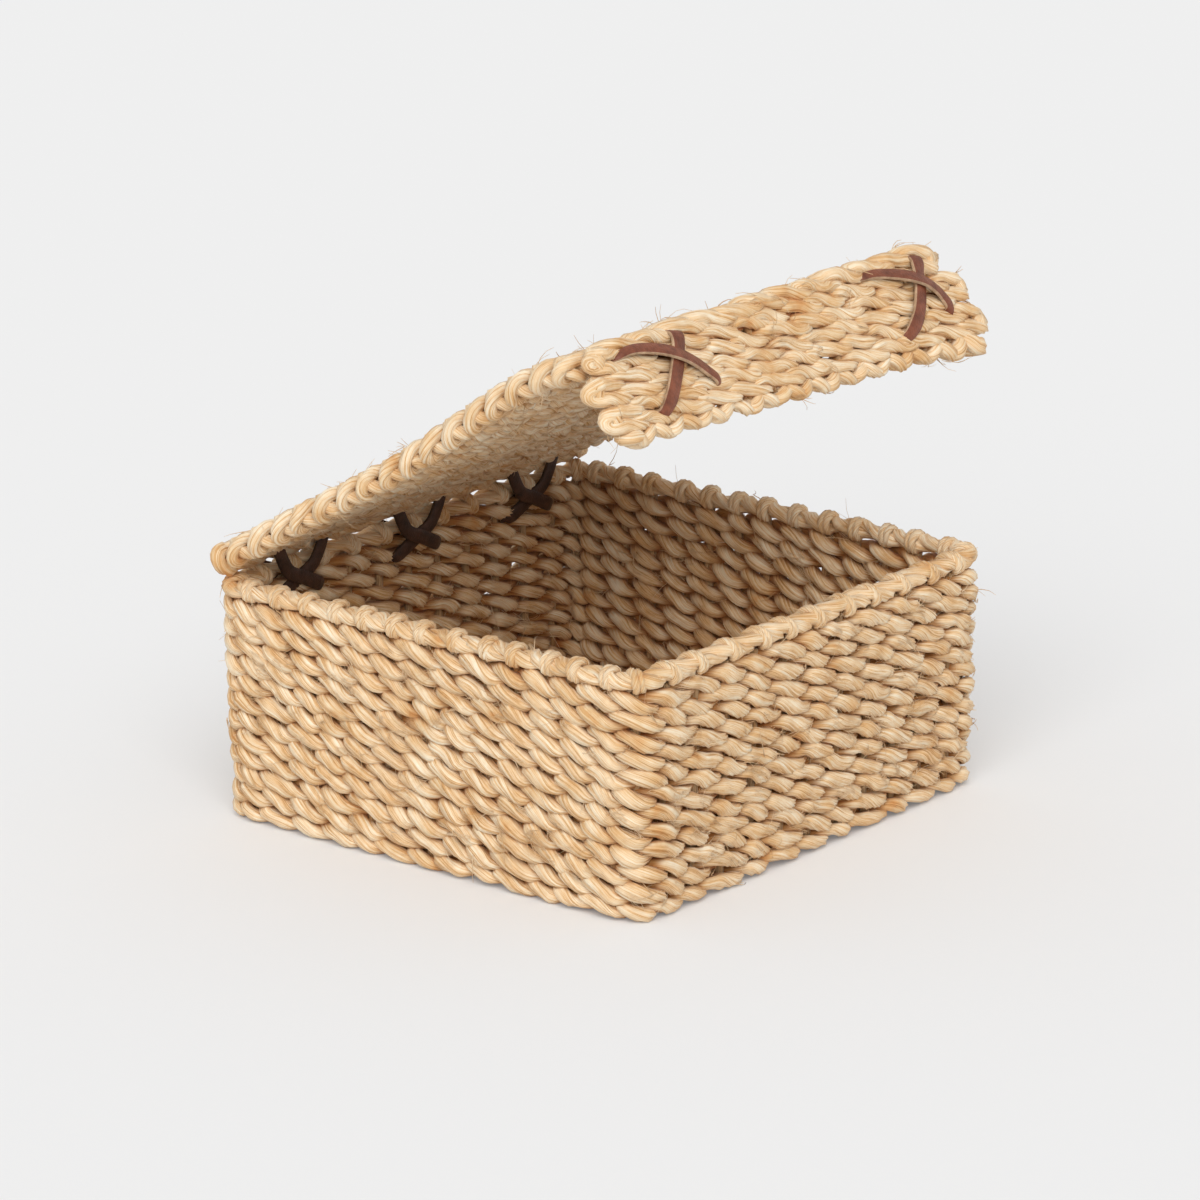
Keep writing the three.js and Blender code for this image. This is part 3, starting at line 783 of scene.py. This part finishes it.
hinge_leather = leather_finish("hinge_leather", (0.026, 0.011, 0.006), (0.080, 0.033, 0.017), 0.42, 0.62, 1500)
hinge_edge = leather_finish("hinge_edge", (0.035, 0.017, 0.009), (0.10, 0.055, 0.030), 0.75, 0.95, 2600)
lace_spacing = 0.063
lace_lean = 0.0126
lace_reach = 0.0125
lace_shoulder = 0.00625
lace_face, lace_crest = 0.0064, 0.0055
lace_steps = 90
lace_taper = np.minimum(1, 0.3 + 0.08 * np.minimum(np.arange(lace_steps), np.arange(lace_steps)[::-1]))
for place, middle in (("left", -lace_spacing), ("middle", 0), ("right", lace_spacing)):
    for layer, (order, lean) in enumerate((("inner", 1), ("outer", -1))):
        face = lace_face + 0.0014 * layer
        crest = lace_crest + 0.0013 * layer
        drawn = [(-1.02, -0.0024, -0.0010 - lace_reach), (-0.98, -0.0052, 0.0002 - lace_reach)]
        slant = ((0.82, 0.0006), (0.5, 0), (0.2, 0))
        drawn += [(-2 * below + 1, -face + spare, -lace_reach * below) for below, spare in slant]
        drawn = [(x, y, z - lace_shoulder) for x, y, z in drawn]
        drawn += [(1, -face * math.cos(turn), crest * math.sin(turn)) for turn in np.linspace(0, math.pi / 2, 5)]
        drawn += [(x, -y, z) for x, y, z in drawn[-2::-1]]
        line = line_through(drawn, lace_steps) * (lean * lace_lean, 1, 1) + (middle, axis_y, axis_z)
        ways_out = np.stack([np.zeros(lace_steps), line[:, 1] - axis_y, np.clip(line[:, 2] - axis_z, 0, 1)], 1)
        ways_out /= np.linalg.norm(ways_out, axis=1)[:, None]
        strap_mesh = cut_strap("hinge_lace", line, ways_out, lace_width * lace_taper, lace_thickness)
        lay_piece(f"hinge_strap_{place}_{order}", strap_mesh, [hinge_leather, hinge_edge], "box", "hinge_leather",
                  f"hinge_lace_{place}_{order}")


# Lip laces: red-brown leather straps that cross on the face of the lip, two at each end.
# A steep one comes over the fold, a long one bows over it, and their ends go in between the rows.
# Their lines are drawn in millimetres: along the lip, up from the hinge line, and out from the lip's middle.
lip_leather = leather_finish("lip_leather", (0.125, 0.034, 0.015), (0.25, 0.074, 0.034), 0.36, 0.55, 1500)
lip_edge = leather_finish("lip_edge", (0.27, 0.16, 0.09), (0.60, 0.42, 0.27), 0.80, 0.98, 2600)
lip_straps = {
    "left_steep": ((-58.0, 4.6, -1.5), (-58.2, 4.2, 3.0), (-58.8, 2.2, 4.8), (-60.2, -1.2, 5.0),
                   (-63.0, -5.4, 5.0), (-66.9, -10.0, 4.9), (-70.8, -14.2, 4.9), (-75.0, -18.0, 4.6),
                   (-79.0, -20.8, 3.4), (-81.2, -21.8, -1.0)),
    "left_long": ((-90.6, 0.8, -1.2), (-89.2, 1.7, 2.8), (-84.0, 2.5, 4.6), (-76.7, 1.5, 5.2),
                  (-69.2, -1.0, 6.2), (-63.0, -3.7, 6.2), (-56.7, -7.2, 5.4), (-51.2, -11.6, 4.6),
                  (-47.4, -16.2, 4.0), (-47.2, -20.6, -1.0)),
    "right_steep": ((74.6, 4.2, -1.5), (74.4, 3.6, 3.2), (73.8, 1.4, 4.8), (72.4, -2.0, 5.0),
                    (70.6, -6.4, 5.0), (67.4, -11.6, 4.9), (63.2, -16.4, 4.9), (58.2, -20.2, 4.6),
                    (53.6, -22.6, 3.4), (51.2, -23.4, -1.0)),
    "right_long": ((42.8, 1.4, -1.2), (44.2, 2.0, 2.8), (49.2, 1.8, 4.6), (56.4, 0.2, 5.2),
                   (63.6, -2.2, 6.2), (70.2, -4.9, 6.2), (75.8, -8.3, 5.4), (79.8, -12.6, 4.6),
                   (81.4, -17.4, 4.0), (79.8, -22.4, -1.0)),
}
strap_widths = {"steep": (6.0, 6.2, 6.0, 5.4, 2.6), "long": (1.8, 3.8, 5.2, 5.0, 2.6)}
strap_tilts = {"steep": ((0.1, -1, 1.2), (0.25, -1, 0)), "long": ((0, -1, 0.5), (0, -1, 0.5))}
strap_thickness = 0.0012
strap_rise = 0.0007
strap_steps, fold_steps = 60, 20
for place, drawn in lip_straps.items():
    lie = place.split("_")[1]
    line = line_through(drawn, strap_steps)[:, (0, 2, 1)] * (0.001, -0.001, 0.001) - (0, lip_middle + strap_rise, 0)
    ways = np.gradient(line, axis=0)
    laid = np.clip(np.arange(strap_steps) / fold_steps, 0, 1)[:, None]
    tilts = (1 - laid) * strap_tilts[lie][0] + laid * strap_tilts[lie][1]
    ways_out = np.cross(np.cross(ways, tilts), ways)
    ways_out /= np.linalg.norm(ways_out, axis=1)[:, None]
    widths = 0.001 * np.interp(np.linspace(0, 4, strap_steps), range(5), strap_widths[lie])
    strap_mesh = swing_open(cut_strap("lip_lace", line, ways_out, widths, strap_thickness))
    lay_piece(f"lip_strap_{place}", strap_mesh, [lip_leather, lip_edge], "lid", "lip_leather", f"lip_lace_{place}")
